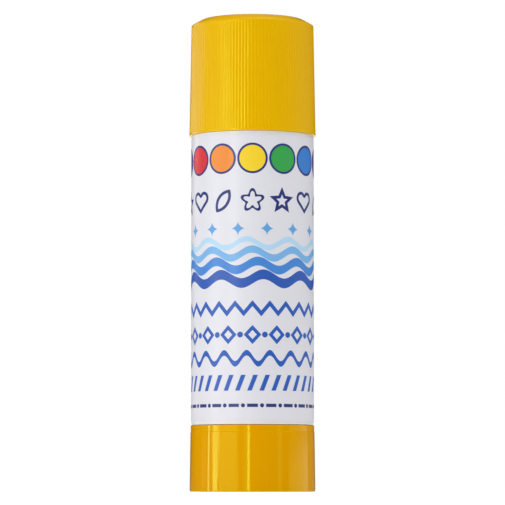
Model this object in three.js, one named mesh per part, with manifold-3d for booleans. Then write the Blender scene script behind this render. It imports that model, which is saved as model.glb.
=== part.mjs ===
// Twist-up glue stick, standing on its turning base with the cap on.
// Turning the base turns a threaded spindle. The carrier rides on that thread and can't turn in the
// barrel, so it climbs and pushes the glue out of the neck. The cap pulls off along the axis.
// Millimetres, +Z up. The origin is the centre of the foot ring that the stick stands on.
import * as THREE from "three";
import { mergeVertices } from "three/addons/utils/BufferGeometryUtils.js";
import Module from "manifold-3d";

// Turning base. Its rim stands out over the barrel, and it widens towards the foot.
const baseHeight = 13.75;
const baseOverhang = 0.18;
const baseDraft = 0.2;
const baseWall = 1.25;
const baseEdge = 0.35;
const footRingWidth = 1.5;
const footRecess = 2.6;
const webThickness = 1.6;
const bossRadius = 4.8;
const stiffenerCount = 8;
const stiffenerThickness = 1.0;
const stiffenerHeight = 5;

// Barrel
const barrelRadius = 12.62;
const barrelHeight = 59.55;
const barrelWall = 2.22;
const barrelEdge = 0.3;
const neckWall = 0.95;
const neckHeight = 20;
const neckEdge = 0.25;
const beadHeight = 0.2;
const beadLength = 1.6;
const beadRise = 2.4;
const floorThickness = 1.5;
const floorDrop = 0.55;
const spigotWall = 1.4;
const spigotDepth = 6.75;
const guideCount = 4;
const guideHeight = 0.5;
const guideWidth = 1.2;
const guideDrop = 1.0;

// Label
const filmThickness = 0.07;
const labelMargin = 0.3;
const labelLap = 3.2;

// Spindle and its thread
const hexFlats = 5.6;
const journalRadius = 3.4;
const flangeRadius = 5.0;
const flangeThickness = 1.1;
const barbRadius = 3.5;
const barbLength = 1.2;
const barbBevel = 0.6;
const slitWidth = 0.8;
const slitDepth = 5.5;
const coreRadius = 2.2;
const threadRadius = 3.1;
const threadLead = 4;
const threadCrest = 0.9;
const threadFlank = 0.5;
const threadEngagement = 6;
const travelTurns = 16;
const tipRadius = 1.4;

// Carrier
const carrierHeight = 12;
const carrierWall = 1.1;
const carrierDisc = 1.4;
const hubRadius = 4.6;
const hubHeight = 10;
const finCount = 4;
const finThickness = 0.8;
const finHeight = 5;

// Cap. Its mouth stands out over the barrel, and it narrows towards the crown.
const capHeight = 24.3;
const capOverhang = 0.51;
const capDraft = 0.42;
const crownBevelWidth = 2.25;
const crownBevelHeight = 1.27;
const capRimHeight = 0.6;
const capRoof = 1.6;
const capRibCount = 116;
const capRibDepth = 0.22;
const capRibRunOut = 0.3;
const cavityDraft = 0.1;
const cavityBevelWidth = 1.8;
const cavityBevelHeight = 1.2;
const mouthLeadIn = 0.3;
const mouthLeadInHeight = 0.6;
const gripCount = 8;
const gripHeight = 0.15;
const gripWidth = 0.8;
const gripRoot = 0.2;
const gripLength = 14;
const plugWall = 0.85;
const plugDip = 2.5;
const plugBevelWidth = 0.3;
const plugBevelHeight = 0.6;

// Clearances
const seamGap = 0.2;
const seatGap = 0.2;
const baseRunningGap = 0.3;
const journalGap = 0.2;
const endPlay = 0.2;
const pressGap = 0.1;
const threadGap = 0.2;
const filmGap = 0.02;
const carrierGap = 0.15;
const glueGap = 0.2;
const castGap = 0.1;
const glueRoom = 1.0;
const capGap = 0.1;
const plugGap = 0.12;

// How far a cutter runs past a face, and how deep a joined piece roots in its neighbour
const overrun = 1;
const rooting = 0.5;

// Facets round the large and the small diameters, and along one turn of the thread
const roundSteps = 48;
const smallSteps = 32;
const threadSteps = 12;

// Levels, counted up from the foot ring
const webTop = footRecess + webThickness;
const barrelFoot = baseHeight + seamGap;
const spigotFoot = barrelFoot - spigotDepth;
const floorTop = barrelFoot - floorDrop;
const floorFoot = floorTop - floorThickness;
const bossTop = floorFoot - endPlay;
const flangeFoot = floorTop + endPlay;
const flangeTop = flangeFoot + flangeThickness;
const carrierFoot = flangeTop + endPlay;
const carrierRim = carrierFoot + carrierHeight;
const shoulder = barrelFoot + barrelHeight;
const neckRim = shoulder + neckHeight;
const capMouth = shoulder + seatGap;
const capTop = capMouth + capHeight;
const crownBase = capTop - crownBevelHeight;
const roofUnder = capTop - capRoof;
const plugTip = neckRim - plugDip;
const glueTop = plugTip - glueRoom;
const travel = travelTurns * threadLead;
const spindleTip = carrierFoot + travel + threadEngagement;

// Radii that follow from the barrel or another neighbour
const boreRadius = barrelRadius - barrelWall;
const baseRimRadius = barrelRadius + baseOverhang;
const baseFootRadius = baseRimRadius + baseDraft;
const capMouthRadius = barrelRadius + capOverhang;
const capCrownRadius = capMouthRadius - capDraft;
const cupRadius = baseRimRadius - baseWall;
const recessRadius = baseFootRadius - baseEdge - footRingWidth;
const spigotRadius = cupRadius - baseRunningGap;
const floorHoleRadius = journalRadius + journalGap;
const neckRadius = boreRadius + neckWall;
const beadRadius = neckRadius + beadHeight;
const carrierRadius = boreRadius - carrierGap;
const cupWallRadius = carrierRadius - carrierWall;
const glueRadius = boreRadius - glueGap;
const gripRadius = beadRadius + capGap;
const cavityRadius = gripRadius + gripHeight + cavityDraft;
const plugRadius = boreRadius - plugGap;
const labelInner = barrelRadius + filmGap;

const wasm = await Module();
wasm.setup();

// A closed three.js geometry as a manifold-3d solid
function solid(geometry) {
  const bare = geometry.clone();
  bare.deleteAttribute("normal");
  bare.deleteAttribute("uv");
  const merged = mergeVertices(bare, 1e-4);
  const vertProperties = merged.attributes.position.array;
  const triVerts = new Uint32Array(merged.index.array);
  return new wasm.Manifold(new wasm.Mesh({ numProp: 3, vertProperties, triVerts }));
}

// A manifold-3d solid back as a three.js geometry
function geometryOf(made) {
  const mesh = made.getMesh();
  const geometry = new THREE.BufferGeometry();
  geometry.setAttribute("position", new THREE.BufferAttribute(mesh.vertProperties, 3));
  geometry.setIndex(new THREE.BufferAttribute(mesh.triVerts, 1));
  const flat = geometry.toNonIndexed();
  flat.computeVertexNormals();
  return flat;
}

// A closed profile of [radius, height] pairs turned about +Z, listed up the outside and down the inside
function turned(profile, steps = roundSteps) {
  const closed = profile.map(([r, z]) => new THREE.Vector2(r, z));
  const onAxis = profile[0][0] === 0 && profile[profile.length - 1][0] === 0;
  if (!onAxis) closed.push(closed[0].clone());
  return solid(new THREE.LatheGeometry(closed, steps).rotateX(Math.PI / 2));
}

// A solid cylinder about +Z between two heights
function rod(radius, low, high, steps = smallSteps) {
  return turned([[0, low], [radius, low], [radius, high], [0, high]], steps);
}

// An upright block that reaches from one radius to another in the direction of an angle
function fin(angle, inner, outer, width, low, high) {
  const block = new THREE.BoxGeometry(outer - inner, width, high - low);
  block.translate((inner + outer) / 2, 0, (low + high) / 2);
  block.rotateZ(angle);
  return solid(block);
}

// The directions of a number of evenly spaced features, the first one turned by a start angle
function directions(count, start = 0) {
  return Array.from({ length: count }, (_, i) => start + (i * 2 * Math.PI) / count);
}

// Rings of [x, y, z] points joined to one closed skin, with a centre point under and over the ends
function skinned(rings, lowCentre, highCentre) {
  const columns = rings[0].length;
  const points = rings.flat();
  const faces = [];
  rings.slice(1).forEach((_, row) => {
    for (let i = 0; i < columns; i++) {
      const a = row * columns + i;
      const b = row * columns + ((i + 1) % columns);
      faces.push(a, b, b + columns, a, b + columns, a + columns);
    }
  });
  const last = (rings.length - 1) * columns;
  const low = points.push(lowCentre) - 1;
  const high = points.push(highCentre) - 1;
  for (let i = 0; i < columns; i++) {
    const next = (i + 1) % columns;
    faces.push(low, next, i, high, last + i, last + next);
  }
  const geometry = new THREE.BufferGeometry();
  geometry.setAttribute("position", new THREE.Float32BufferAttribute(points.flat(), 3));
  geometry.setIndex(faces);
  return solid(geometry);
}

// A closed loop of points joined to one point, for the end of a skin
function endFan(centre, loop) {
  return loop.flatMap((point, i) => [centre, point, loop[(i + 1) % loop.length]]);
}

// A rod with a right-handed thread that runs past both heights. A clearance makes it the nut's cutter.
function threadedRod(low, high, clearance) {
  const core = coreRadius + clearance;
  const crest = threadRadius + clearance;
  const crestHalf = threadCrest / 2 + clearance;
  const rootHalf = crestHalf + (crest - core) * threadFlank;
  const outline = [[core, -rootHalf], [crest, -crestHalf], [crest, crestHalf], [core, rootHalf]];
  const firstTurn = Math.floor(low / threadLead) - 1;
  const turns = Math.ceil(high / threadLead) + 1 - firstTurn;
  const lines = [];
  for (let step = 0; step <= threadSteps; step++) {
    const angle = ((step % threadSteps) * 2 * Math.PI) / threadSteps;
    const line = [];
    for (let turn = firstTurn; turn <= firstTurn + turns; turn++) {
      const rise = (turn + step / threadSteps) * threadLead;
      line.push(...outline.map(([r, z]) => [r * Math.cos(angle), r * Math.sin(angle), rise + z]));
    }
    lines.push(line);
  }
  const corners = [];
  lines.slice(1).forEach((right, step) => {
    const left = lines[step];
    for (let i = 1; i < left.length; i++) {
      corners.push(left[i - 1], right[i - 1], right[i], left[i - 1], right[i], left[i]);
    }
  });
  const firstLine = lines[0];
  const lastLine = lines[threadSteps];
  const lowLoop = [...lines.map((line) => line[0]), ...firstLine.slice(1, outline.length).reverse()];
  const highLoop = [...lines.map((line) => line.at(-1)), ...lastLine.slice(-outline.length, -1).reverse()];
  corners.push(...endFan([0, 0, lowLoop[0][2]], lowLoop.reverse()));
  corners.push(...endFan([0, 0, highLoop[0][2]], highLoop));
  const geometry = new THREE.BufferGeometry();
  geometry.setAttribute("position", new THREE.Float32BufferAttribute(corners.flat(), 3));
  return solid(geometry);
}

// The cap's outside: a plain rim, fine ribs up to the crown, then a bevel to the flat top
function capOutside() {
  const slope = (capCrownRadius - capMouthRadius) / (crownBase - capMouth);
  const outer = (z) => capMouthRadius + slope * (z - capMouth);
  const ribFoot = capMouth + capRimHeight;
  const ribTop = crownBase - capRibRunOut;
  const ring = (z, radius, depth) =>
    directions(capRibCount).flatMap((angle) =>
      [0, depth].map((cut, side) => {
        const turn = angle + (side * Math.PI) / capRibCount;
        return [(radius - cut) * Math.cos(turn), (radius - cut) * Math.sin(turn), z];
      }),
    );
  return skinned(
    [
      ring(capMouth, outer(capMouth), 0),
      ring(ribFoot, outer(ribFoot), 0),
      ring(ribFoot + capRibRunOut, outer(ribFoot + capRibRunOut), capRibDepth),
      ring(ribTop, outer(ribTop), capRibDepth),
      ring(crownBase, capCrownRadius, 0),
      ring(capTop, capCrownRadius - crownBevelWidth, 0),
    ],
    [0, 0, capMouth],
    [0, 0, capTop],
  );
}

// Cap: one moulding with a ribbed skirt, a plug ring that seals the neck, and grip ribs inside
function cap() {
  const inner = (z) => cavityRadius - (cavityDraft * (z - capMouth)) / (roofUnder - capMouth);
  const cavity = turned([
    [0, capMouth - overrun],
    [cavityRadius + mouthLeadIn, capMouth - overrun],
    [cavityRadius + mouthLeadIn, capMouth],
    [cavityRadius, capMouth + mouthLeadInHeight],
    [inner(roofUnder - cavityBevelHeight), roofUnder - cavityBevelHeight],
    [inner(roofUnder) - cavityBevelWidth, roofUnder],
    [0, roofUnder],
  ]);
  const plug = turned([
    [plugRadius - plugWall, plugTip],
    [plugRadius - plugBevelWidth, plugTip],
    [plugRadius, plugTip + plugBevelHeight],
    [plugRadius, roofUnder + rooting],
    [plugRadius - plugWall, roofUnder + rooting],
  ]);
  const gripFoot = capMouth + mouthLeadInHeight;
  const grips = directions(gripCount).map((angle) =>
    fin(
      angle,
      gripRadius,
      cavityRadius + gripRoot,
      gripWidth,
      gripFoot,
      gripFoot + gripLength,
    ),
  );
  return grips.reduce((made, grip) => made.add(grip), capOutside().subtract(cavity).add(plug));
}

// Barrel: one moulding with the neck, the bore, its guide ribs, the floor and the spigot below it
function barrel() {
  const tube = turned([
    [floorHoleRadius, floorFoot],
    [spigotRadius - spigotWall, floorFoot],
    [spigotRadius - spigotWall, spigotFoot],
    [spigotRadius, spigotFoot],
    [spigotRadius, barrelFoot],
    [barrelRadius - barrelEdge, barrelFoot],
    [barrelRadius, barrelFoot + barrelEdge],
    [barrelRadius, shoulder - barrelEdge],
    [barrelRadius - barrelEdge, shoulder],
    [neckRadius, shoulder],
    [neckRadius, shoulder + beadRise],
    [beadRadius, shoulder + beadRise + beadHeight],
    [beadRadius, shoulder + beadRise + beadLength - beadHeight],
    [neckRadius, shoulder + beadRise + beadLength],
    [neckRadius, neckRim - neckEdge],
    [neckRadius - neckEdge, neckRim],
    [boreRadius, neckRim],
    [boreRadius, floorTop],
    [floorHoleRadius, floorTop],
  ]);
  const guides = directions(guideCount).map((angle) =>
    fin(
      angle,
      boreRadius - guideHeight,
      boreRadius + rooting,
      guideWidth,
      floorTop - rooting,
      plugTip - guideDrop,
    ),
  );
  return guides.reduce((made, guide) => made.add(guide), tube);
}

// Label: a film wrapped once round the barrel, its outer end lapped over its inner end at the back
function label() {
  const step = (2 * Math.PI) / roundSteps;
  const lapSteps = Math.max(1, Math.round(labelLap / (labelInner * step)));
  const lift = filmThickness + filmGap;
  const stations = [];
  for (let i = 0; i <= roundSteps + lapSteps; i++) {
    stations.push([Math.PI / 2 + i * step, i < roundSteps - 1 ? 0 : lift]);
  }
  const point = (radius, angle) =>
    new THREE.Vector2(radius * Math.cos(angle), radius * Math.sin(angle));
  const outside = stations.map(([angle, up]) => point(labelInner + filmThickness + up, angle));
  const inside = stations.map(([angle, up]) => point(labelInner + up, angle)).reverse();
  const film = new THREE.ExtrudeGeometry(new THREE.Shape([...outside, ...inside]), {
    depth: barrelHeight - 2 * labelMargin,
    bevelEnabled: false,
  });
  return solid(film.translate(0, 0, barrelFoot + labelMargin));
}

// Turning base: a cup with a raised foot ring, a hexagonal socket and stiffening ribs
function turningBase() {
  const cup = turned([
    [0, footRecess],
    [recessRadius, footRecess],
    [recessRadius, 0],
    [baseFootRadius - baseEdge, 0],
    [baseFootRadius, baseEdge],
    [baseRimRadius, baseHeight - baseEdge],
    [baseRimRadius - baseEdge, baseHeight],
    [cupRadius, baseHeight],
    [cupRadius, webTop],
    [bossRadius, webTop],
    [bossRadius, bossTop],
    [0, bossTop],
  ]);
  const root = bossRadius - rooting;
  const foot = webTop - rooting;
  const tallReach = spigotRadius - spigotWall - baseRunningGap;
  const stiffeners = directions(stiffenerCount).flatMap((angle) => [
    fin(angle, root, cupRadius + rooting, stiffenerThickness, foot, spigotFoot - baseRunningGap),
    fin(angle, root, tallReach, stiffenerThickness, foot, webTop + stiffenerHeight),
  ]);
  const ribbed = stiffeners.reduce((made, rib) => made.add(rib), cup);
  return ribbed.subtract(hexagon(hexFlats + 2 * pressGap, 0, bossTop + overrun));
}

// A hexagonal bar about +Z, sized across its flats
function hexagon(flats, low, high) {
  return rod(flats / 2 / Math.cos(Math.PI / 6), low, high, 6);
}

// Spindle: split barb, hexagonal root, journal, flange and the threaded shaft
function spindle() {
  const barbTop = footRecess - pressGap;
  const barbFoot = barbTop - barbLength;
  const slitTop = barbFoot + slitDepth;
  const shaftFoot = flangeFoot + rooting;
  const blankRadius = threadRadius + threadGap;
  const blank = turned(
    [
      [0, shaftFoot],
      [blankRadius, shaftFoot],
      [blankRadius, spindleTip - blankRadius + tipRadius],
      [tipRadius, spindleTip],
      [0, spindleTip],
    ],
    smallSteps,
  );
  const barb = turned(
    [
      [0, barbFoot],
      [barbRadius - barbBevel, barbFoot],
      [barbRadius, barbFoot + barbBevel],
      [barbRadius, barbTop],
      [0, barbTop],
    ],
    smallSteps,
  );
  const slit = solid(
    new THREE.BoxGeometry(2 * (barbRadius + overrun), slitWidth, slitDepth + overrun)
      .translate(0, 0, slitTop - (slitDepth + overrun) / 2),
  );
  const root = hexagon(hexFlats, barbTop - rooting, bossTop + rooting);
  const journal = rod(journalRadius, bossTop + pressGap, shaftFoot);
  const flange = rod(flangeRadius, flangeFoot, flangeTop);
  const shaft = threadedRod(shaftFoot, spindleTip, 0).intersect(blank);
  return root.add(barb).subtract(slit).add(journal).add(flange).add(shaft);
}

// Carrier: a cup that grips the foot of the glue, notched for the guide ribs, with a threaded hub
function carrier() {
  const cup = turned([
    [0, carrierFoot],
    [carrierRadius, carrierFoot],
    [carrierRadius, carrierRim],
    [cupWallRadius, carrierRim],
    [cupWallRadius, carrierFoot + carrierDisc],
    [hubRadius, carrierFoot + carrierDisc],
    [hubRadius, carrierFoot + hubHeight],
    [0, carrierFoot + hubHeight],
  ]);
  const notchFloor = boreRadius - guideHeight - carrierGap;
  const notchWidth = guideWidth + 2 * carrierGap;
  const notches = directions(guideCount).map((angle) =>
    fin(angle, notchFloor, boreRadius + overrun, notchWidth, carrierFoot - overrun, carrierRim + overrun),
  );
  const thread = threadedRod(carrierFoot, carrierFoot + hubHeight, threadGap);
  const finned = carrierFins(0).reduce((made, web) => made.add(web), cup);
  return notches.reduce((made, notch) => made.subtract(notch), finned).subtract(thread);
}

// The carrier's upright fins, or with a clearance the slots that they leave in the glue
function carrierFins(clearance) {
  return directions(finCount, Math.PI / finCount).map((angle) =>
    fin(
      angle,
      hubRadius - rooting,
      cupWallRadius + rooting,
      finThickness + 2 * clearance,
      carrierFoot + carrierDisc - rooting,
      carrierFoot + carrierDisc + finHeight + clearance,
    ),
  );
}

// Glue: cast into the carrier's cup and round the spindle, grooved by the guide ribs
function glue() {
  const foot = carrierFoot + carrierDisc + castGap;
  const hubTop = carrierFoot + hubHeight + castGap;
  const spindleBore = threadRadius + glueGap;
  const boreTop = spindleTip + glueGap;
  const block = turned([
    [hubRadius + castGap, foot],
    [cupWallRadius - castGap, foot],
    [cupWallRadius - castGap, carrierRim + castGap],
    [glueRadius, carrierRim + castGap],
    [glueRadius, glueTop - glueGap],
    [glueRadius - glueGap, glueTop],
    [0, glueTop],
    [0, boreTop],
    [spindleBore, boreTop],
    [spindleBore, hubTop],
    [hubRadius + castGap, hubTop],
  ]);
  const grooves = directions(guideCount).map((angle) =>
    fin(
      angle,
      boreRadius - guideHeight - glueGap,
      boreRadius + overrun,
      guideWidth + 2 * glueGap,
      carrierRim - overrun,
      glueTop + overrun,
    ),
  );
  const cut = [...grooves, ...carrierFins(castGap)];
  return cut.reduce((made, tool) => made.subtract(tool), block);
}

// Moulded and cast materials
const yellowRibbed = new THREE.MeshStandardMaterial({ color: 0xe9b90f, roughness: 0.42, metalness: 0 });
const yellowSmooth = new THREE.MeshStandardMaterial({ color: 0xe3a608, roughness: 0.25, metalness: 0 });
const whitePlastic = new THREE.MeshStandardMaterial({ color: 0xf1f1f0, roughness: 0.4, metalness: 0 });
const whiteFilm = new THREE.MeshStandardMaterial({ color: 0xf4f4f6, roughness: 0.3, metalness: 0 });
const naturalPlastic = new THREE.MeshStandardMaterial({ color: 0xe9e8e2, roughness: 0.45, metalness: 0 });
const whiteGlue = new THREE.MeshStandardMaterial({ color: 0xf2f0e8, roughness: 0.55, metalness: 0 });

// The assembly, each moving set in its own group
function piece(name, made, material) {
  const mesh = new THREE.Mesh(geometryOf(made), material);
  mesh.name = name;
  return mesh;
}

const standing = new THREE.Group();
standing.add(piece("barrel", barrel(), whitePlastic), piece("label", label(), whiteFilm));

const turning = new THREE.Group();
turning.add(
  piece("turning_base", turningBase(), yellowSmooth),
  piece("spindle", spindle(), naturalPlastic),
);

const rising = new THREE.Group();
rising.add(piece("carrier", carrier(), naturalPlastic), piece("glue", glue(), whiteGlue));

const lifting = new THREE.Group();
lifting.add(piece("cap", cap(), yellowRibbed));

const glueStick = new THREE.Group();
glueStick.add(standing, turning, rising, lifting);

export default glueStick;
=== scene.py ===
import math

import bpy
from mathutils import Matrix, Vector
from mathutils.geometry import interpolate_bezier


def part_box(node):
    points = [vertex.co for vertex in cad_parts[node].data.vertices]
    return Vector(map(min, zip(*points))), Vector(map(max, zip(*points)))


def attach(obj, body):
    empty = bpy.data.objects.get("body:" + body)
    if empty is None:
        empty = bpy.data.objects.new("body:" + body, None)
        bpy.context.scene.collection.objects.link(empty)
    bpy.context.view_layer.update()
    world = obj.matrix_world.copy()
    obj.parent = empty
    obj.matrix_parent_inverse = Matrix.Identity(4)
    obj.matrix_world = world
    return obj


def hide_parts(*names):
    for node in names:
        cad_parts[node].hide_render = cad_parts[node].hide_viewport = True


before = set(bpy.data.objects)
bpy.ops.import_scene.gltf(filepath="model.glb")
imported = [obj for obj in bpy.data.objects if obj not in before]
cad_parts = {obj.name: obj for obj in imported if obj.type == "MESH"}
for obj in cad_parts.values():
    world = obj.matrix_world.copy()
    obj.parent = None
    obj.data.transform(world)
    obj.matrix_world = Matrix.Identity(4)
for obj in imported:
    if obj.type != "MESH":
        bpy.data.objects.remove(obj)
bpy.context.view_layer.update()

# Barrel: the white tube that holds everything, injection moulded in polypropylene. One moulding has
# the neck and its snap bead, four guide ribs down the bore, the floor under the glue and the spigot
# that the base turns on. Sizes are in millimetres as far as the studio, and MM turns them into metres.
MM = 0.001
ROUND_STEPS = 192


def sizes_of(node):
    """A CAD node's radius, foot and top in millimetres"""
    low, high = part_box(node)
    return high.x / MM, low.z / MM, high.z / MM


def only(piece):
    """Leaves one piece active and selected"""
    bpy.ops.object.select_all(action="DESELECT")
    piece.select_set(True)
    bpy.context.view_layer.objects.active = piece


def edit(piece, wanted=lambda point: True):
    """Opens a piece in edit mode with the points selected that pass the test, which is in millimetres"""
    only(piece)
    bpy.ops.object.mode_set(mode="EDIT")
    bpy.ops.mesh.select_mode(type="VERT")
    bpy.ops.mesh.select_all(action="DESELECT")
    bpy.ops.object.mode_set(mode="OBJECT")
    for vertex in piece.data.vertices:
        vertex.select = wanted(vertex.co / MM)
    bpy.ops.object.mode_set(mode="EDIT")


def merged(piece):
    """Merges a piece's doubled points and turns its faces outwards"""
    edit(piece)
    bpy.ops.mesh.remove_doubles(threshold=0.001 * MM)
    bpy.ops.mesh.normals_make_consistent(inside=False)
    bpy.ops.object.mode_set(mode="OBJECT")


def applied(piece, kind, **settings):
    """Adds a modifier with its settings and applies it"""
    only(piece)
    bpy.ops.object.modifier_add(type=kind)
    for name, value in settings.items():
        setattr(piece.modifiers[-1], name, value)
    bpy.ops.object.modifier_apply(modifier=piece.modifiers[-1].name)


def rounded(outline):
    """An outline's corners as points, with an arc at each one whose third number is a fillet radius"""
    corners = [Vector((across, 0, up)) for across, up, *_ in outline]
    points = []
    for i, (corner, (_, _, *fillet)) in enumerate(zip(corners, outline)):
        if not fillet:
            points.append(corner)
            continue
        before = corners[i - 1] - corner
        after = corners[(i + 1) % len(corners)] - corner
        sweep = math.pi - before.angle(after)
        reach = fillet[0] * math.tan(sweep / 2)
        start = corner + before.normalized() * reach
        end = corner + after.normalized() * reach
        pull = 4 / 3 * math.tan(sweep / 4) / math.tan(sweep / 2)
        steps = max(3, round(math.degrees(sweep) / 18) + 1)
        handles = start.lerp(corner, pull), end.lerp(corner, pull)
        points += interpolate_bezier(start, *handles, end, steps)
    return points


def drawn(name, points, closed=True):
    """A new mesh with one line of edges through the points, drawn by extruding a single point"""
    bpy.ops.object.select_all(action="DESELECT")
    bpy.ops.mesh.primitive_plane_add(size=MM)
    piece = bpy.context.object
    piece.name = piece.data.name = name
    bpy.ops.object.mode_set(mode="EDIT")
    bpy.ops.mesh.merge(type="CENTER")
    bpy.ops.transform.translate(value=points[0] * MM)
    for here, there in zip(points, points[1:] + points[:1] if closed else points[1:]):
        bpy.ops.mesh.extrude_vertices_move(TRANSFORM_OT_translate={"value": (there - here) * MM})
    bpy.ops.object.mode_set(mode="OBJECT")
    merged(piece)
    return piece


def turned(name, outline, steps=ROUND_STEPS, sweep=2 * math.pi):
    """A solid of revolution about the stick's axis from an outline of [radius, height, fillet] corners"""
    piece = drawn(name, rounded(outline), closed=outline[0][0] > 0)
    edit(piece)
    bpy.ops.mesh.spin(steps=steps, angle=sweep, center=(0, 0, 0), axis=(0, 0, 1))
    bpy.ops.object.mode_set(mode="OBJECT")
    merged(piece)
    return piece


def bars(count, inner, outer, width, low, high, first=0.0, edge=0.0):
    """Evenly spaced upright bars that reach from one radius to another, joined in one mesh"""
    bpy.ops.object.select_all(action="DESELECT")
    bpy.ops.mesh.primitive_cube_add(size=1, location=Vector((inner + outer, 0, low + high)) * MM / 2)
    bar = bpy.context.object
    bar.scale = Vector((outer - inner, width, high - low)) * MM
    bpy.ops.object.transform_apply(location=True, rotation=True, scale=True)
    if edge:
        applied(bar, "BEVEL", width=edge * MM, segments=3)
    copies = []
    for i in range(count):
        copy = bpy.data.objects.new("bar", bar.data.copy())
        bpy.context.collection.objects.link(copy)
        copy.rotation_euler.z = first + i * 2 * math.pi / count
        copies.append(copy)
    bpy.data.objects.remove(bar)
    return joined(copies)


def joined(pieces):
    """Pieces joined to one mesh, with its place in the mesh"""
    only(pieces[0])
    for piece in pieces:
        piece.select_set(True)
    bpy.ops.object.join()
    made = bpy.context.object
    bpy.ops.object.transform_apply(location=True, rotation=True, scale=True)
    return made


def combined(piece, other, operation):
    """Unites a piece with another, or cuts it, and deletes the other"""
    applied(piece, "BOOLEAN", object=other, operation=operation, solver="EXACT")
    bpy.data.objects.remove(other)
    merged(piece)
    return piece


def finished(piece, material, body, *nodes, slot=None, sharp=32):
    """Shades a piece, gives it its material, hands it to its body and hides the CAD nodes that it stands for;
    its slot is not used
    """
    only(piece)
    bpy.ops.object.shade_smooth_by_angle(angle=math.radians(sharp))
    applied(piece, "WEIGHTED_NORMAL", keep_sharp=True)
    piece.data.materials.clear()
    piece.data.materials.append(material)
    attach(piece, body)
    if nodes:
        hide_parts(*nodes)


def linear(hex_colour):
    """An sRGB colour such as 0xE9B90F as linear red, green, blue and alpha"""
    shares = [(hex_colour >> shift & 255) / 255 for shift in (16, 8, 0)]
    return [s / 12.92 if s < 0.04045 else ((s + 0.055) / 1.055) ** 2.4 for s in shares] + [1.0]


def node(tree, kind, inputs=(), **settings):
    """Adds a shader node with its settings, and sets or links each input named"""
    made = tree.nodes.new("ShaderNode" + kind)
    for name, value in settings.items():
        setattr(made, name, value)
    for socket, value in dict(inputs).items():
        if isinstance(value, bpy.types.NodeSocket):
            tree.links.new(value, made.inputs[socket])
        else:
            made.inputs[socket].default_value = value
    return made


# The marks that moulding leaves, by their size: flow of the melt, polish, orange peel and mould grain
flow_mark = 9.0
polish_mark = 2.5
peel_mark = 1.6
grain_mark = 0.25


def moulded(name, colour, shade, gloss, peel=0.0, grain=0.0, **surface):
    """Injection-moulded plastic: flow marks in its colour, a polish that varies, mould grain and peel"""
    material = bpy.data.materials.new(name)
    material.use_nodes = True
    tree = material.node_tree
    place = node(tree, "TexCoord").outputs["Object"]
    shader = tree.nodes["Principled BSDF"]
    flow = node(tree, "TexNoise", {"Vector": place, "Scale": 1 / (flow_mark * MM), "Detail": 2.0})
    tone = node(tree, "Mix", {"Factor": flow.outputs["Fac"], 6: linear(colour), 7: linear(shade)},
                data_type="RGBA")
    polish = node(tree, "TexNoise", {"Vector": place, "Scale": 1 / (polish_mark * MM), "Detail": 3.0})
    rough = node(tree, "MapRange", {"Value": polish.outputs["Fac"], "From Min": 0.3, "From Max": 0.7,
                                    "To Min": gloss[0], "To Max": gloss[1]})
    waves = node(tree, "TexNoise", {"Vector": place, "Scale": 1 / (peel_mark * MM), "Detail": 0.0})
    wavy = node(tree, "Bump", {"Height": waves.outputs["Fac"], "Distance": peel * MM})
    grit = node(tree, "TexNoise", {"Vector": place, "Scale": 1 / (grain_mark * MM), "Detail": 2.0})
    gritty = node(tree, "Bump", {"Height": grit.outputs["Fac"], "Distance": grain * MM,
                                 "Normal": wavy.outputs["Normal"]})
    tree.links.new(tone.outputs[2], shader.inputs["Base Color"])
    tree.links.new(rough.outputs["Result"], shader.inputs["Roughness"])
    tree.links.new(gritty.outputs["Normal"], shader.inputs["Normal"])
    for socket, value in surface.items():
        shader.inputs[socket.replace("_", " ")].default_value = value
    return material


barrel_radius, spigot_foot, neck_rim = sizes_of("barrel")
cap_mouth_radius, cap_mouth, cap_top = sizes_of("cap")
base_foot_radius, base_foot, base_top = sizes_of("turning_base")
base_seam = 0.09
cap_seam = 0.025
base_rim_top = base_top - 0.15
barrel_foot = base_rim_top + base_seam
shoulder = cap_mouth - cap_seam
barrel_wall = 2.22
neck_wall = 0.95
bore_radius = barrel_radius - barrel_wall
neck_radius = bore_radius + neck_wall
bead_rise = 0.2
bead_radius = neck_radius + bead_rise
bead_foot = cap_mouth + 2.2
bead_top = bead_foot + 1.6
spigot_step = 1.37
spigot_wall = 1.4
spigot_radius = barrel_radius - spigot_step
spigot_bore = spigot_radius - spigot_wall
floor_thickness = 1.5
floor_top = base_top - 0.35
floor_foot = floor_top - floor_thickness
# The room that moving fits have, and how far two forms run into each other where they are joined
clearance = 0.2
bite = 0.5
journal_radius = 3.4
floor_hole = journal_radius + clearance
guide_count = 4
guide_width = 1.2
guide_depth = 0.5
guide_reach = bore_radius - guide_depth
guide_top = neck_rim - 3.5

# Random polypropylene, filled white: a satin surface, a little light passing through its edges
white_pp = moulded("white_polypropylene", 0xEAEAE9, 0xE7E7E5, gloss=(0.32, 0.4), grain=0.002, IOR=1.49,
                   Subsurface_Weight=0.12, Subsurface_Radius=(0.6 * MM, 0.6 * MM, 0.6 * MM),
                   Subsurface_Scale=1.0)

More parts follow.
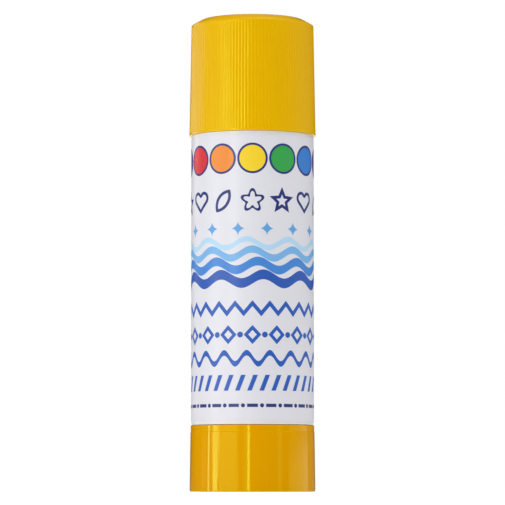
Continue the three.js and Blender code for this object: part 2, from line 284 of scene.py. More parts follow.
barrel = turned("barrel_tube", [
    (floor_hole, floor_foot, 0.15),
    (spigot_bore, floor_foot, 0.3),
    (spigot_bore, spigot_foot, 0.2),
    (spigot_radius, spigot_foot, 0.3),
    (spigot_radius, barrel_foot, 0.15),
    (barrel_radius, barrel_foot, 0.06),
    (barrel_radius, shoulder, 0.04),
    (neck_radius, shoulder, 0.15),
    (neck_radius, bead_foot, 0.2),
    (bead_radius, bead_foot + bead_rise, 0.2),
    (bead_radius, bead_top - bead_rise, 0.2),
    (neck_radius, bead_top, 0.2),
    (neck_radius, neck_rim, 0.25),
    (bore_radius, neck_rim, 0.2),
    (bore_radius, floor_top, 0.3),
    (floor_hole, floor_top, 0.15),
])
guides = bars(guide_count, guide_reach, bore_radius + bite, guide_width, floor_top - bite, guide_top,
              edge=0.15)
combined(barrel, guides, "UNION")
finished(barrel, white_pp, "barrel", "barrel", slot="white_barrel")

# Spindle: the screw in the middle, moulded in uncoloured polypropylene. Its hexagonal root and split
# barb snap into the base from above, its flange rests on the barrel's floor, and its thread with a
# 4 mm lead runs up through the glue.
flange_radius, barb_foot, spindle_tip = sizes_of("spindle")
thread_lead = 4.0
core_radius = 2.2
crest_radius = 3.1
crest_half = 0.45
flank = 0.5
boss_top = floor_foot - clearance
flange_thickness = 1.1
flange_foot = floor_top + clearance
flange_top = flange_foot + flange_thickness
barb_height = 1.2
barb_bevel = 0.6
barb_radius = 3.5
barb_top = barb_foot + barb_height
stub_radius = 2.0
hex_flats = 5.6
tip_radius = 1.4
tip_taper = 1.7
slit_width = 0.8
slit_depth = 5.5
# How far a cutter runs past what it cuts
overrun = 1.0


def threaded(name, low, high, gap=0.0, steps=32):
    """A right-hand threaded rod that runs past both heights, or with a gap the cutter for its nut"""
    core = core_radius + gap
    crest = crest_radius + gap
    half = crest_half + gap
    root_half = half + (crest - core) * flank
    first = math.floor(low / thread_lead) - 1
    turns = math.ceil(high / thread_lead) + 2 - first
    across = [(core, -root_half), (crest, -half), (crest, half), (core, root_half),
              (core, thread_lead - root_half)]
    points = [Vector((radius, 0, first * thread_lead + up)) for radius, up in across]
    rod = drawn(name, points, closed=False)
    applied(rod, "SCREW", screw_offset=thread_lead * MM, iterations=turns, steps=steps,
            render_steps=steps, use_merge_vertices=True, merge_threshold=0.001 * MM)
    merged(rod)
    middle = (low + high) / 2
    for side in (1, -1):
        edit(rod)
        bpy.ops.mesh.select_all(action="DESELECT")
        bpy.ops.mesh.select_non_manifold(extend=False, use_wire=False, use_multi_face=False,
                                         use_non_contiguous=False, use_verts=False)
        bpy.ops.object.mode_set(mode="OBJECT")
        for edge in rod.data.edges:
            ends = [rod.data.vertices[i].co.z / MM for i in edge.vertices]
            edge.select = edge.select and (sum(ends) / 2 - middle) * side > 0
        keep = {i for edge in rod.data.edges if edge.select for i in edge.vertices}
        for vertex in rod.data.vertices:
            vertex.select = vertex.index in keep
        bpy.ops.object.mode_set(mode="EDIT")
        bpy.ops.mesh.extrude_edges_move()
        bpy.ops.mesh.merge(type="CENTER")
        bpy.ops.object.mode_set(mode="OBJECT")
    merged(rod)
    return rod


def hexagon(flats, low, high):
    """An upright hexagonal bar, sized across its flats"""
    bpy.ops.object.select_all(action="DESELECT")
    bpy.ops.mesh.primitive_cylinder_add(vertices=6, radius=flats * MM / 2 / math.cos(math.pi / 6),
                                        depth=(high - low) * MM, location=(0, 0, (low + high) * MM / 2))
    bpy.ops.object.transform_apply(location=True, rotation=True, scale=True)
    return bpy.context.object


# Natural polypropylene: milky, so light goes into it and comes out close by
natural_pp = moulded("natural_polypropylene", 0xE6E5DD, 0xDEDDD4, gloss=(0.34, 0.45), grain=0.004, IOR=1.49,
                     Subsurface_Weight=0.6, Subsurface_Radius=(2.0 * MM, 1.8 * MM, 1.5 * MM),
                     Subsurface_Scale=1.0)

spindle = threaded("spindle_screw", flange_top, spindle_tip)
blank = turned("blank", [
    (0, flange_foot + bite),
    (crest_radius + 0.1, flange_foot + bite),
    (crest_radius + 0.1, spindle_tip - tip_taper),
    (tip_radius, spindle_tip, 0.5),
    (0, spindle_tip),
], steps=64)
combined(spindle, blank, "INTERSECT")
foot = turned("foot", [
    (0, boss_top - bite),
    (stub_radius, boss_top - bite),
    (stub_radius, boss_top + 0.1),
    (journal_radius, boss_top + 0.1, 0.15),
    (journal_radius, flange_foot, 0.1),
    (flange_radius, flange_foot, 0.2),
    (flange_radius, flange_top, 0.3),
    (core_radius - 0.1, flange_top),
    (core_radius - 0.1, flange_top + bite),
    (0, flange_top + bite),
], steps=96)
combined(spindle, foot, "UNION")
barb = turned("barb", [
    (0, barb_foot),
    (barb_radius - barb_bevel, barb_foot, 0.2),
    (barb_radius, barb_foot + barb_bevel, 0.2),
    (barb_radius, barb_top, 0.1),
    (0, barb_top),
], steps=96)
combined(barb, hexagon(hex_flats, barb_top - bite, boss_top + 0.3), "UNION")
slit_reach = barb_radius + overrun
slit = bars(1, -slit_reach, slit_reach, slit_width, barb_foot - overrun, barb_foot + slit_depth)
combined(barb, slit, "DIFFERENCE")
combined(spindle, barb, "UNION")
finished(spindle, natural_pp, "base", "spindle", slot="natural_plastic")

# Turning base: the glossy yellow foot, one injection moulding in coloured polypropylene. It is a cup
# that turns on the barrel's spigot, drafted wider towards its foot ring, with a stiffened web and a
# hexagonal socket for the spindle. A faint witness line runs round it under the rim.
rim_overhang = 0.18
rim_band = 1.55
witness = 0.03
base_wall = 1.25
base_rim_radius = barrel_radius + rim_overhang
cup_radius = base_rim_radius - base_wall
foot_ring = 1.85
foot_recess = 2.6
recess_radius = base_foot_radius - foot_ring
web_thickness = 1.6
web_top = foot_recess + web_thickness
boss_radius = 4.8
stiffener_count = 8
low_stiffener = 1.0
high_stiffener = 0.9
high_rise = 5.0
spigot_room = 0.3

# Coloured polypropylene from a polished mould: deep yellow under a clear gloss, with a slight peel
yellow_gloss = moulded("yellow_polypropylene_gloss", 0xE5A300, 0xE3A000, gloss=(0.08, 0.11), peel=0.0007,
                       IOR=1.5, Specular_Tint=(0.6, 1.0, 0.08, 1.0))

base = turned("base_cup", [
    (0, foot_recess),
    (recess_radius, foot_recess, 0.3),
    (recess_radius, base_foot, 0.25),
    (base_foot_radius, base_foot, 0.12),
    (base_rim_radius + witness, base_top - rim_band, 0.1),
    (base_rim_radius - witness, base_top - rim_band + 0.08, 0.1),
    (base_rim_radius - witness, base_rim_top, 0.1),
    (cup_radius, base_rim_top, 0.15),
    (cup_radius, web_top, 0.3),
    (boss_radius, web_top, 0.3),
    (boss_radius, boss_top, 0.2),
    (0, boss_top),
])
low_stiffeners = bars(stiffener_count, boss_radius - bite, cup_radius + bite, low_stiffener,
                      web_top - bite, spigot_foot - spigot_room)
combined(base, low_stiffeners, "UNION")
high_stiffeners = bars(stiffener_count, boss_radius - bite, spigot_bore - spigot_room, high_stiffener,
                       web_top - 0.4, web_top + high_rise)
combined(base, high_stiffeners, "UNION")
combined(base, hexagon(hex_flats + clearance, 0, boss_top + overrun), "DIFFERENCE")
finished(base, yellow_gloss, "base", "turning_base", slot="yellow_base")

# Carrier: the cup that grips the foot of the glue and rides up the thread, moulded in uncoloured
# polypropylene. Notches in its wall take the guide ribs, so it can't turn, and four fins key the glue.
_, carrier_foot, carrier_rim = sizes_of("carrier")
carrier_room = 0.15
carrier_radius = bore_radius - carrier_room
cup_wall = 1.1
cup_bore = carrier_radius - cup_wall
disc_thickness = 1.4
disc_top = carrier_foot + disc_thickness
hub_radius = 4.6
hub_height = 10.0
hub_top = carrier_foot + hub_height
notch_width = 1.5
fin_count = 4
fin_width = 0.8
fin_height = 5.0
fin_turn = math.pi / 4

carrier = turned("glue_carrier", [
    (0, carrier_foot),
    (carrier_radius, carrier_foot, 0.2),
    (carrier_radius, carrier_rim, 0.2),
    (cup_bore, carrier_rim, 0.2),
    (cup_bore, disc_top, 0.2),
    (hub_radius, disc_top, 0.2),
    (hub_radius, hub_top, 0.2),
    (0, hub_top),
])
fins = bars(fin_count, hub_radius - bite, cup_bore + bite, fin_width, disc_top - bite, disc_top + fin_height,
            first=fin_turn)
combined(carrier, fins, "UNION")
notches = bars(guide_count, guide_reach - carrier_room, bore_radius + overrun, notch_width,
               carrier_foot - overrun, carrier_rim + overrun)
combined(carrier, notches, "DIFFERENCE")
combined(carrier, threaded("nut_cutter", carrier_foot, hub_top, gap=clearance), "DIFFERENCE")
finished(carrier, natural_pp, "carrier", "carrier", slot="natural_plastic")

# Glue: a white stick of solid adhesive, cast hot into the barrel from the top. It takes the bore's
# shape, so the guide ribs leave four grooves down it, and its cast end dips a little as it sets.
_, glue_foot, glue_top = sizes_of("glue")
glue_radius = bore_radius - clearance
dip = 0.35
dip_slope = 2.5
spindle_bore = crest_radius + clearance
groove_width = 1.6
fin_slot = 1.0
# The glue stands this far off the cup that it is cast in
cast_gap = 0.1
root_radius = cup_bore - cast_gap

# Set soap-based adhesive: waxy, dense white with a cream cast, soft sheen and small cast ripples
glue_wax = moulded("white_glue", 0xF1EFE6, 0xECE9DF, gloss=(0.38, 0.55), peel=0.03, grain=0.006, IOR=1.46,
                   Subsurface_Weight=0.5, Subsurface_Radius=(1.6 * MM, 1.3 * MM, 1.0 * MM),
                   Subsurface_Scale=1.0)

glue = turned("glue_stick", [
    (hub_radius + cast_gap, glue_foot),
    (root_radius, glue_foot, 0.2),
    (root_radius, carrier_rim + cast_gap),
    (glue_radius, carrier_rim + cast_gap, 0.2),
    (glue_radius, glue_top, 0.5),
    (glue_radius - dip_slope, glue_top - dip, 3.0),
    (0, glue_top - dip),
    (0, spindle_tip + clearance),
    (spindle_bore, spindle_tip + clearance),
    (spindle_bore, hub_top + cast_gap),
    (hub_radius + cast_gap, hub_top + cast_gap),
])
grooves = bars(guide_count, guide_reach - clearance, bore_radius + overrun, groove_width,
               carrier_rim - overrun, glue_top + overrun)
combined(glue, grooves, "DIFFERENCE")
fin_slots = bars(fin_count, hub_radius - bite, cup_bore + bite, fin_slot,
                 glue_foot - overrun, disc_top + fin_height + cast_gap, first=fin_turn)
combined(glue, fin_slots, "DIFFERENCE")
finished(glue, glue_wax, "carrier", "glue", slot="glue_mass")

# Label: a white polypropylene film, printed and varnished flat, then wrapped once round the barrel and
# stuck down. Its outer end laps over its inner end at the back.
film_face, label_foot, label_top = sizes_of("label")
film = 0.07
film_lap = 3.2
film_middle = film_face - film / 2
lap_lift = film + 0.02
lap_ramp = math.radians(6)
film_steps = 240


def film_point(angle):
    """A point of the film's middle line, counted from the back seam and lifted where it laps over itself"""
    ramp = min(max((angle - 2 * math.pi + lap_ramp) / lap_ramp, 0), 1)
    radius = film_middle + lap_lift * ramp * ramp * (3 - 2 * ramp)
    turn = math.pi / 2 + angle
    return Vector((radius * math.cos(turn), radius * math.sin(turn), label_foot))


# Printed film: clean cool white, smooth under its varnish, with the faint waviness of a stuck film
label_film = moulded("label_film", 0xE2E2E9, 0xE0E0E7, gloss=(0.34, 0.4), peel=0.003, IOR=1.5)

film_turn = 2 * math.pi + film_lap / film_middle
stations = [film_turn * i / film_steps for i in range(film_steps + 1)]
label = drawn("label_wrap", [film_point(angle) for angle in stations], closed=False)
edit(label)
bpy.ops.mesh.extrude_edges_move(TRANSFORM_OT_translate={"value": (0, 0, (label_top - label_foot) * MM)})
bpy.ops.object.mode_set(mode="OBJECT")
applied(label, "SOLIDIFY", thickness=film * MM, offset=0)
merged(label)
finished(label, label_film, "barrel", "label", slot="label_film")

# Print: a generic craft design in ink on the label's face, in bands that run round almost to the seam.
# Each motif is drawn flat once, filled, cut into upright slices, copied along its row and rolled.
ink_lift = 0.004
ink_thickness = 0.012
ink_reach = 36.0
slice_width = 0.6


def printed(name, colour):
    """Flexographic ink under the label's varnish: the same gloss as the film, with its faint waviness"""
    return moulded(name, colour, colour, gloss=(0.34, 0.4), peel=0.003, IOR=1.5)


def upright(line):
    """The points of a line of [across, up] pairs, in the plane that faces the front"""
    return [Vector((across, 0, up)) for across, up in line]


def motif(outline, hole=None):
    """A flat shape from its outline, filled, or with the outline of a hole in it, cut into upright slices"""
    loops = [drawn("motif", upright(line)) for line in (outline, hole) if line]
    shape = joined(loops)
    edit(shape)
    if hole:
        bpy.ops.mesh.bridge_edge_loops()
    else:
        bpy.ops.mesh.edge_face_add()
    bpy.ops.mesh.select_all(action="SELECT")
    bpy.ops.mesh.quads_convert_to_tris()
    half = math.ceil(shape.dimensions.x / MM / 2 / slice_width)
    for i in range(-half, half + 1):
        bpy.ops.mesh.select_all(action="SELECT")
        bpy.ops.mesh.bisect(plane_co=(i * slice_width * MM, 0, 0), plane_no=(1, 0, 0))
    bpy.ops.object.mode_set(mode="OBJECT")
    return shape


def ribbon(line, width):
    """A band of an even height over a line that runs the whole way round"""
    band = drawn("ribbon", upright(line), closed=False)
    edit(band)
    bpy.ops.mesh.extrude_edges_move(TRANSFORM_OT_translate={"value": (0, 0, width * MM)})
    bpy.ops.object.mode_set(mode="OBJECT")
    return band


def spaced(count, pitch):
    """Places across, a pitch apart, with as many to the left of the front as to the right"""
    return [(i - (count - 1) / 2) * pitch for i in range(count)]


def row(shape, places, up, lean=0):
    """Copies of a motif side by side at a height, leaning by an angle. The motif itself goes."""
    copies = []
    for across in places:
        copy = bpy.data.objects.new("copy", shape.data.copy())
        bpy.context.collection.objects.link(copy)
        copy.location = Vector((across, 0, up)) * MM
        copy.rotation_euler.y = math.radians(lean)
        copies.append(copy)
    bpy.data.objects.remove(shape)
    return joined(copies)


def ring_of(count, radius):
    """The corners of a round outline from a radius that may vary with the angle"""
    angles = [2 * math.pi * i / count for i in range(count)]
    return [(radius(a) * math.sin(a), radius(a) * math.cos(a)) for a in angles]


def arc(across, up, radius, start, end, count=14):
    """Points along an arc about a centre, from one angle to another"""
    angles = [start + (end - start) * i / count for i in range(count + 1)]
    return [(across + radius * math.cos(a), up + radius * math.sin(a)) for a in angles]


def inked(name, colour, *shapes):
    """Gives flat shapes the ink's thickness, rolls them round the label and hands them to the barrel"""
    ink = joined(list(shapes))
    ink.name = ink.data.name = name
    applied(ink, "SOLIDIFY", thickness=ink_thickness * MM, offset=0)
    radius = film_face + ink_lift + ink_thickness / 2
    applied(ink, "SIMPLE_DEFORM", deform_method="BEND", deform_axis="Z",
            angle=ink.dimensions.x / MM / radius)
    edit(ink)
    bpy.ops.transform.translate(value=(0, -radius * MM, 0))
    bpy.ops.object.mode_set(mode="OBJECT")
    finished(ink, printed(name, colour), "barrel")


navy = []
trim = []

# Colour chips: round swatches in the colours of a paint box, each with a navy line round it. Their
# order, like that of the motifs, is counted from the left.
chip_radius = 2.7
chip_line = 0.45
chip_pitch = 6.6
chip_height = 68.0
first_red = 3
chip_colours = {"red": 0xD8252C, "orange": 0xF08A1C, "yellow": 0xF7D417, "green": 0x2FA548,
                "blue": 0x2C7BD0, "violet": 0x6A3FA0}
chip_places = spaced(11, chip_pitch)
chip = ring_of(48, lambda angle: chip_radius)
for i, (colour_name, colour) in enumerate(chip_colours.items()):
    places = chip_places[(first_red + i) % len(chip_colours)::len(chip_colours)]
    inked("print_chips_" + colour_name, colour, row(motif(chip), places, chip_height))
chip_edge = motif(ring_of(48, lambda angle: chip_radius + chip_line), chip)
navy.append(row(chip_edge, chip_places, chip_height))

# Craft motifs in navy line: flower, star, heart and leaf in turn. Each gives its outline, or the same
# outline moved inwards for the inner side of its line.
motif_pitch = 6.3
motif_height = 59.3
motif_line = 0.62
leaf_lean = 35
first_flower = 1


def flower(inset):
    """A round flower with five petals"""
    return ring_of(60, lambda angle: 2.05 + 0.5 * math.cos(5 * angle) - inset)


def star(inset):
    """A star with five points, all of whose sides lie equally far from its middle"""
    tip, notch = 2.9, 1.35
    half = math.pi / 5
    edge = math.dist((tip, 0), (notch * math.cos(half), notch * math.sin(half)))
    left = 1 - inset * edge / (tip * notch * math.sin(half))
    return [(radius * left * math.sin(i * half), radius * left * math.cos(i * half))
            for i, radius in enumerate([tip, notch] * 5)]


def heart(inset):
    """Two round lobes that meet in a notch, over straight sides that meet in a point"""
    lobe, across, up, tip = 1.4, 1.15, 0.8, -2.3
    notch = up + math.sqrt(lobe ** 2 - across ** 2)
    top = math.atan2(notch - up, -across)
    side = math.atan2(up - tip, across) - math.asin(lobe / math.hypot(across, up - tip)) - math.pi / 2
    right = arc(across, up, lobe - inset, top, side)
    point = [(0, tip - inset / math.sin(side))]
    left = [(-x, z) for x, z in reversed(right)]
    return right + point + left + arc(0, notch, inset, -top, top - math.pi, 6)[1:-1] * (inset > 0)


def leaf(inset):
    """A pointed leaf between two arcs"""
    width, height = 1.45, 2.8
    radius = (width ** 2 + height ** 2) / (2 * width)
    centre = radius - width
    reach = math.acos(centre / (radius - inset))
    right = arc(-centre, 0, radius - inset, reach, -reach)
    return right + [(-x, -z) for x, z in right[1:-1]]


motif_places = spaced(11, motif_pitch)
for i, (shape, lean) in enumerate([(flower, 0), (star, 0), (heart, 0), (leaf, leaf_lean)]):
    places = motif_places[(first_flower + i) % 4::4]
    navy.append(row(motif(shape(0), shape(motif_line)), places, motif_height, lean))

# Waves: four rolling bands in blues that pale upwards, by foot, width and colour, with sparkles over them
wave_length = 9.0
wave_rise = 0.9
wave_shift = 0.8
waves = {"deep": (42.3, 2.0, 0x1D56B4), "blue": (45.1, 1.8, 0x3E86D6), "sky": (47.7, 1.5, 0x76B4E8),
         "pale": (50.0, 1.1, 0xB4DAF4)}
sparkle_reach = 1.35
sparkle_pitch = 6.0
sparkle_height = 53.6


def print_line(step, height):
    """A line right across the print in short steps, with its height given by the place across"""
    count = round(2 * ink_reach / step)
    places = [-ink_reach + 2 * ink_reach * i / count for i in range(count + 1)]
    return [(across, height(across)) for across in places]


def ripple(foot, rise, length, shift):
    """The height of a smooth wave, to be given the place across"""
    return lambda across: foot + rise * math.sin(2 * math.pi * across / length + shift)


def sparkle(angle):
    """The radius of a sparkle with four points and hollow sides"""
    return sparkle_reach / (abs(math.sin(angle)) ** 0.67 + abs(math.cos(angle)) ** 0.67) ** 1.5


for i, (shade_name, (foot, width, colour)) in enumerate(waves.items()):
    line = print_line(slice_width, ripple(foot, wave_rise, wave_length, i * wave_shift))
    inked("print_wave_" + shade_name, colour, ribbon(line, width))
inked("print_sparkles", 0x5AA5E2, row(motif(ring_of(40, sparkle)), spaced(12, sparkle_pitch), sparkle_height))

# Trim: four rows of line ornament in bright blue, as on ribbon
zigzag_foot = 35.6
zigzag_rise = 2.1
zigzag_pitch = 3.6
zigzag_line = 1.2
diamond_pitch = 5.1
diamond_height = 31.9
diamond_line = 0.68
dot_radius = 0.6
curl_foot = 26.5
curl_rise = 1.15
curl_pitch = 4.8
curl_line = 1.15
curl_step = 0.4
bar_pitch = 2.5
bar_height = 22.1


def zigzag(across):
    """The height of an even zigzag that starts high at the print's left end"""
    return zigzag_foot + zigzag_rise * abs(2 * (across + ink_reach) / zigzag_pitch % 2 - 1)


def diamond(inset):
    """A diamond, all of whose sides lie equally far from its middle"""
    width, height = 1.8, 1.95
    left = 1 - inset * math.hypot(width, height) / (width * height)
    return [(0, height * left), (width * left, 0), (0, -height * left), (-width * left, 0)]


trim.append(ribbon(print_line(slice_width, zigzag), zigzag_line))
diamond_ring = motif(diamond(0), diamond(diamond_line))
trim.append(row(diamond_ring, spaced(13, diamond_pitch), diamond_height))
dot = motif(ring_of(24, lambda angle: dot_radius))
trim.append(row(dot, spaced(14, diamond_pitch), diamond_height))
curl = ripple(curl_foot, curl_rise, curl_pitch, math.pi)
trim.append(ribbon(print_line(curl_step, curl), curl_line))
bar = motif([(-1.1, -1.6), (-0.15, -1.6), (1.1, 1.6), (0.15, 1.6)])
trim.append(row(bar, spaced(27, bar_pitch), bar_height))
inked("print_trim", 0x1558B8, *trim)

# Stitch line: dashes and dots in navy along the label's foot
stitch_pitch = 3.9
stitch_height = 17.5
stitch_dot = 0.42
dash = motif([(-1.1, -0.34), (-1.1, 0.34), (1.1, 0.34), (1.1, -0.34)])
navy.append(row(dash, spaced(17, stitch_pitch), stitch_height))
small_dot = motif(ring_of(20, lambda angle: stitch_dot))
navy.append(row(small_dot, spaced(18, stitch_pitch), stitch_height))
inked("print_navy", 0x1D2C78, *navy)

# Cap: a pull-off cap in the base's colour, injection moulded in polypropylene from a finer-textured
# mould. Fine upright ribs run up its skirt and die away under the bevelled crown. Inside, a plug ring
# seals the neck and eight ribs grip the bead.
rib_count = 116
rib_steps = 8
rib_depth = 0.052
rim_height = 0.2
run_out = 0.6
cap_draft = 0.42
crown_height = 1.27
crown_bevel = 2.25
crown_radius = cap_mouth_radius - cap_draft
crown_base = cap_top - crown_height
crown_flat = crown_radius - crown_bevel
gate_radius = 1.2
gate_depth = 0.12
roof_thickness = 1.6
cap_roof = cap_top - roof_thickness
grip_count = 8
grip_width = 0.8
grip_height = 14.0
grip_depth = 0.25
grip_radius = bead_radius + 0.1
cavity_radius = grip_radius + grip_depth
plug_wall = 0.85
lead_in = 0.3
plug_radius = bore_radius - 0.12
plug_tip = neck_rim - 2.5


def skirt(height):
    """The cap's outer radius at a height, over its ribs"""
    share = (height - cap_mouth) / (crown_base - cap_mouth)
    return cap_mouth_radius + (crown_radius - cap_mouth_radius) * share


# Coloured polypropylene from a spark-textured mould: the same yellow, warmer and softer in its gloss
yellow_satin = moulded("yellow_polypropylene_satin", 0xECB600, 0xE9B200, gloss=(0.2, 0.26), IOR=1.5,
                       Specular_Tint=(0.6, 1.0, 0.1, 1.0))

# Heights up the skirt, with the share of their full depth that the ribs have there
rib_foot = cap_mouth + rim_height
rib_levels = {rib_foot: 0, rib_foot + 0.3: 1, crown_base - run_out: 1, crown_base - run_out * 0.7: 0.7,
              crown_base - run_out * 0.45: 0.2}
rib_pitch = 2 * math.pi / rib_count
cap = turned("cap_shell", [
    (0, cap_top - gate_depth),
    (gate_radius, cap_top - gate_depth, 0.1),
    (gate_radius + 0.3, cap_top, 0.2),
    (crown_flat, cap_top, 1.2),
    (crown_radius, crown_base, 0.3),
    *[(skirt(level), level) for level in reversed(rib_levels)],
    (cap_mouth_radius, cap_mouth, 0.06),
    (cavity_radius + lead_in, cap_mouth, 0.1),
    (cavity_radius, cap_mouth + 2 * lead_in, 0.3),
    (cavity_radius - 0.1, cap_roof - 1.2, 0.4),
    (plug_radius, cap_roof - 0.19, 0.15),
    (plug_radius, plug_tip + 2 * lead_in, 0.2),
    (plug_radius - lead_in, plug_tip, 0.1),
    (plug_radius - plug_wall, plug_tip, 0.1),
    (plug_radius - plug_wall, cap_roof, 0.3),
    (0, cap_roof),
], steps=rib_steps, sweep=-rib_pitch)
for level, share in rib_levels.items():
    for step in range(1, rib_steps):
        depth = rib_depth * share * (2 * min(step, rib_steps - step) / rib_steps) ** 2

        def in_groove(point):
            outside = abs(point.z - level) < 0.01 and point.xy.length > skirt(level) - 0.02
            return outside and round(math.atan2(point.y, point.x) / rib_pitch * rib_steps) == step

        edit(cap, in_groove)
        inward = 1 - depth / skirt(level)
        bpy.ops.transform.resize(value=(inward, inward, 1), center_override=(0, 0, 0))
        bpy.ops.object.mode_set(mode="OBJECT")
bpy.ops.object.empty_add(rotation=(0, 0, rib_pitch))
next_rib = bpy.context.object
applied(cap, "ARRAY", count=rib_count, use_relative_offset=False, use_object_offset=True,
        offset_object=next_rib, use_merge_vertices=True, merge_threshold=0.001 * MM)
bpy.data.objects.remove(next_rib)
merged(cap)
grips = bars(grip_count, grip_radius, cavity_radius + 0.2, grip_width, rib_foot, rib_foot + grip_height,
             edge=0.12)
combined(cap, grips, "UNION")
finished(cap, yellow_satin, "cap", "cap", slot="yellow_cap", sharp=20)

# Studio: a pale paper floor, white all round, and soft panels with dark gaps between them, which draw
# the upright bands of light on the round surfaces. The camera stands low and looks up a little. Sizes
# from here on are in metres.
bpy.context.scene.view_settings.view_transform = "Standard"

floor_radius = 3.5
floor_drop = 0.00005
bpy.ops.object.select_all(action="DESELECT")
bpy.ops.mesh.primitive_circle_add(vertices=96, radius=floor_radius, fill_type="NGON",
                                  location=(0, 0, -floor_drop))
floor = bpy.context.object
floor.name = floor.data.name = "floor"

# White paper: matt, so it takes the stick's soft shadow and shows no reflection of it
paper = bpy.data.materials.new("white_paper")
paper.use_nodes = True
tree = paper.node_tree
matt = tree.nodes["Principled BSDF"]
matt.inputs["Base Color"].default_value = linear(0xEDEDED)
matt.inputs["Roughness"].default_value = 0.8

# As a background alone, seen or mirrored, the paper also glows. The glow lights no matt surface. It
# grows from the foot outwards, which makes up for the lamps' fall-off and keeps the stick's shadow.
near, far = 0.015, 0.25
near_glow, far_glow = 0.16, 0.5
rays = node(tree, "LightPath").outputs
mirrored = node(tree, "Math", {0: rays["Is Glossy Ray"], 1: rays["Is Transmission Ray"]}, operation="MAXIMUM")
shown = node(tree, "Math", {0: rays["Is Camera Ray"], 1: mirrored.outputs[0]}, operation="MAXIMUM")
away = node(tree, "VectorMath", {0: node(tree, "TexCoord").outputs["Object"]}, operation="LENGTH")
level = node(tree, "MapRange", {"Value": away.outputs["Value"], "From Min": near, "From Max": far,
                                "To Min": near_glow, "To Max": far_glow})
glow = node(tree, "Math", {0: shown.outputs[0], 1: level.outputs[0]}, operation="MULTIPLY")
matt.inputs["Emission Color"].default_value = (1, 1, 1, 1)
tree.links.new(glow.outputs[0], matt.inputs["Emission Strength"])
floor.data.materials.append(paper)


def hung(lamp, place, turn):
    """Hangs a lamp in its place, turned to the stick and out of the camera's sight"""
    holder = bpy.data.objects.new(lamp.name, lamp)
    holder.location = place
    holder.rotation_euler = turn
    holder.visible_camera = False
    bpy.context.collection.objects.link(holder)


def panel(name, azimuth, spread, low, high, radiance, distance=0.95):
    """A soft upright light that faces the stick. Azimuth 0 is the camera's side, and right is positive."""
    width = 2 * distance * math.tan(math.radians(spread) / 2)
    lamp = bpy.data.lights.new(name, "AREA")
    lamp.shape = "RECTANGLE"
    lamp.size = width
    lamp.size_y = high - low
    lamp.energy = radiance * math.pi * width * (high - low)
    turn = math.radians(azimuth)
    place = (distance * math.sin(turn), -distance * math.cos(turn), (low + high) / 2)
    hung(lamp, place, (math.radians(90), 0, turn))


# The panels stand in three tiers, which the base, the label and the cap mirror. Each line gives the
# azimuth and spread in degrees, the lower and upper edge in metres, and the radiance.
panel("rim_high_left", -129, 12, 0.13, 0.26, 3.4)
panel("panel_low_left", -101, 12, 0.0, 0.04, 0.4)
panel("strip_far_left", -88, 3, 0.0, 0.12, 7.5)
panel("softbox_low_left", -72.3, 11, 0.0, 0.04, 7.5)
panel("softbox_left", -71, 18, 0.04, 0.12, 5.0)
panel("softbox_high_left", -71, 18, 0.12, 0.26, 3.3)
panel("panel_low_front_left", -44.5, 39, 0.0, 0.04, 2.0)
panel("panel_left", -44, 31, 0.04, 0.12, 2.1)
panel("panel_high_left", -44, 31, 0.12, 0.26, 0.7)
panel("strip_high_left", -35, 5, 0.13, 0.26, 28.0)
panel("strip_front_left", -13.5, 7, 0.0, 0.1, 0.8)
panel("strip_front", -7.2, 4, 0.0, 0.1, 9.0, distance=0.9)
panel("panel_right", 51, 8, 0.0, 0.13, 0.9)
panel("panel_low_right", 96, 52, 0.0, 0.04, 1.25)
panel("panel_mid_right", 100, 48, 0.13, 0.185, 0.7)
panel("panel_high_right", 100, 48, 0.185, 0.5, 0.28)
panel("fill_back_right", 140, 36, 0.0, 0.04, 0.1)

# A round light overhead, a little to the right
overhead_radius = 0.6
overhead_radiance = 1.3
overhead = bpy.data.lights.new("overhead", "AREA")
overhead.shape = "DISK"
overhead.size = 2 * overhead_radius
overhead.energy = overhead_radiance * math.pi * math.pi * overhead_radius ** 2
hung(overhead, (0.3, 0.0, 1.05), (0, math.radians(16), 0))

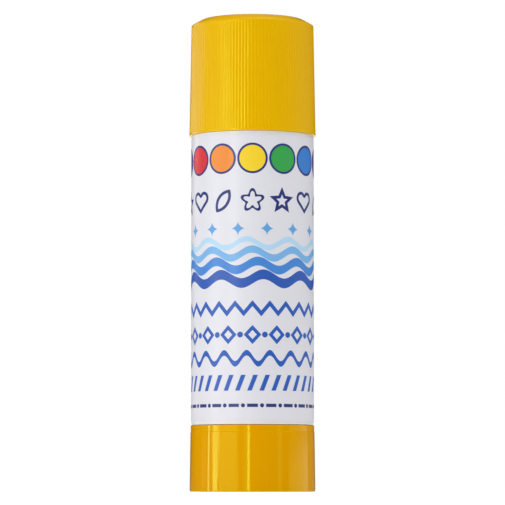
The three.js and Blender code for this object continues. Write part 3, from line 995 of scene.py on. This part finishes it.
# The room: an even fill for matt surfaces, a trace weaker from the right, and plain white for the
# camera and through clear things. Gloss mirrors a narrow white backdrop and a faint ceiling in it.
backdrop_spread = 6
ceiling_level = 0.03
fill_left, fill_right = 0.675, 0.665
world = bpy.data.worlds.new("studio")
world.use_nodes = True
tree = world.node_tree
background = tree.nodes["Background"]
rays = node(tree, "LightPath").outputs
way = node(tree, "SeparateXYZ", {0: node(tree, "TexCoord").outputs["Generated"]})
backdrop = node(tree, "Math", {0: way.outputs["Y"], 1: math.cos(math.radians(backdrop_spread))},
                operation="GREATER_THAN")
ceiling = node(tree, "MapRange", {"Value": way.outputs["Z"], "From Min": 0.2, "From Max": 0.6,
                                  "To Max": ceiling_level})
bright = node(tree, "Math", {0: backdrop.outputs[0], 1: ceiling.outputs[0]}, operation="MAXIMUM")
mirrored = node(tree, "Math", {0: bright.outputs[0], 1: rays["Is Glossy Ray"]}, operation="MULTIPLY")
seen = node(tree, "Math", {0: rays["Is Camera Ray"], 1: rays["Is Transmission Ray"]}, operation="MAXIMUM")
white = node(tree, "Math", {0: seen.outputs[0], 1: mirrored.outputs[0]}, operation="MAXIMUM")
fill = node(tree, "MapRange", {"Value": way.outputs["X"], "To Min": fill_left, "To Max": fill_right})
strength = node(tree, "Math", {0: rays["Is Diffuse Ray"], 1: fill.outputs[0], 2: white.outputs[0]},
                operation="MULTIPLY_ADD")
tree.links.new(strength.outputs[0], background.inputs["Strength"])
background.inputs["Color"].default_value = (1, 1, 1, 1)
bpy.context.scene.world = world

# The camera: a long lens level with the floor, tilted up to the stick's middle
camera_distance = 0.702
camera_height = 0.0005
camera_tilt = 3.994
camera_data = bpy.data.cameras.new("camera")
camera_data.lens = 241.6
camera_data.sensor_width = 36
camera_data.clip_start = 0.01
camera_data.clip_end = 10
camera = bpy.data.objects.new("camera", camera_data)
camera.location = (0, -camera_distance, camera_height)
camera.rotation_euler = (math.radians(90 + camera_tilt), 0, 0)
bpy.context.collection.objects.link(camera)
bpy.context.scene.camera = camera
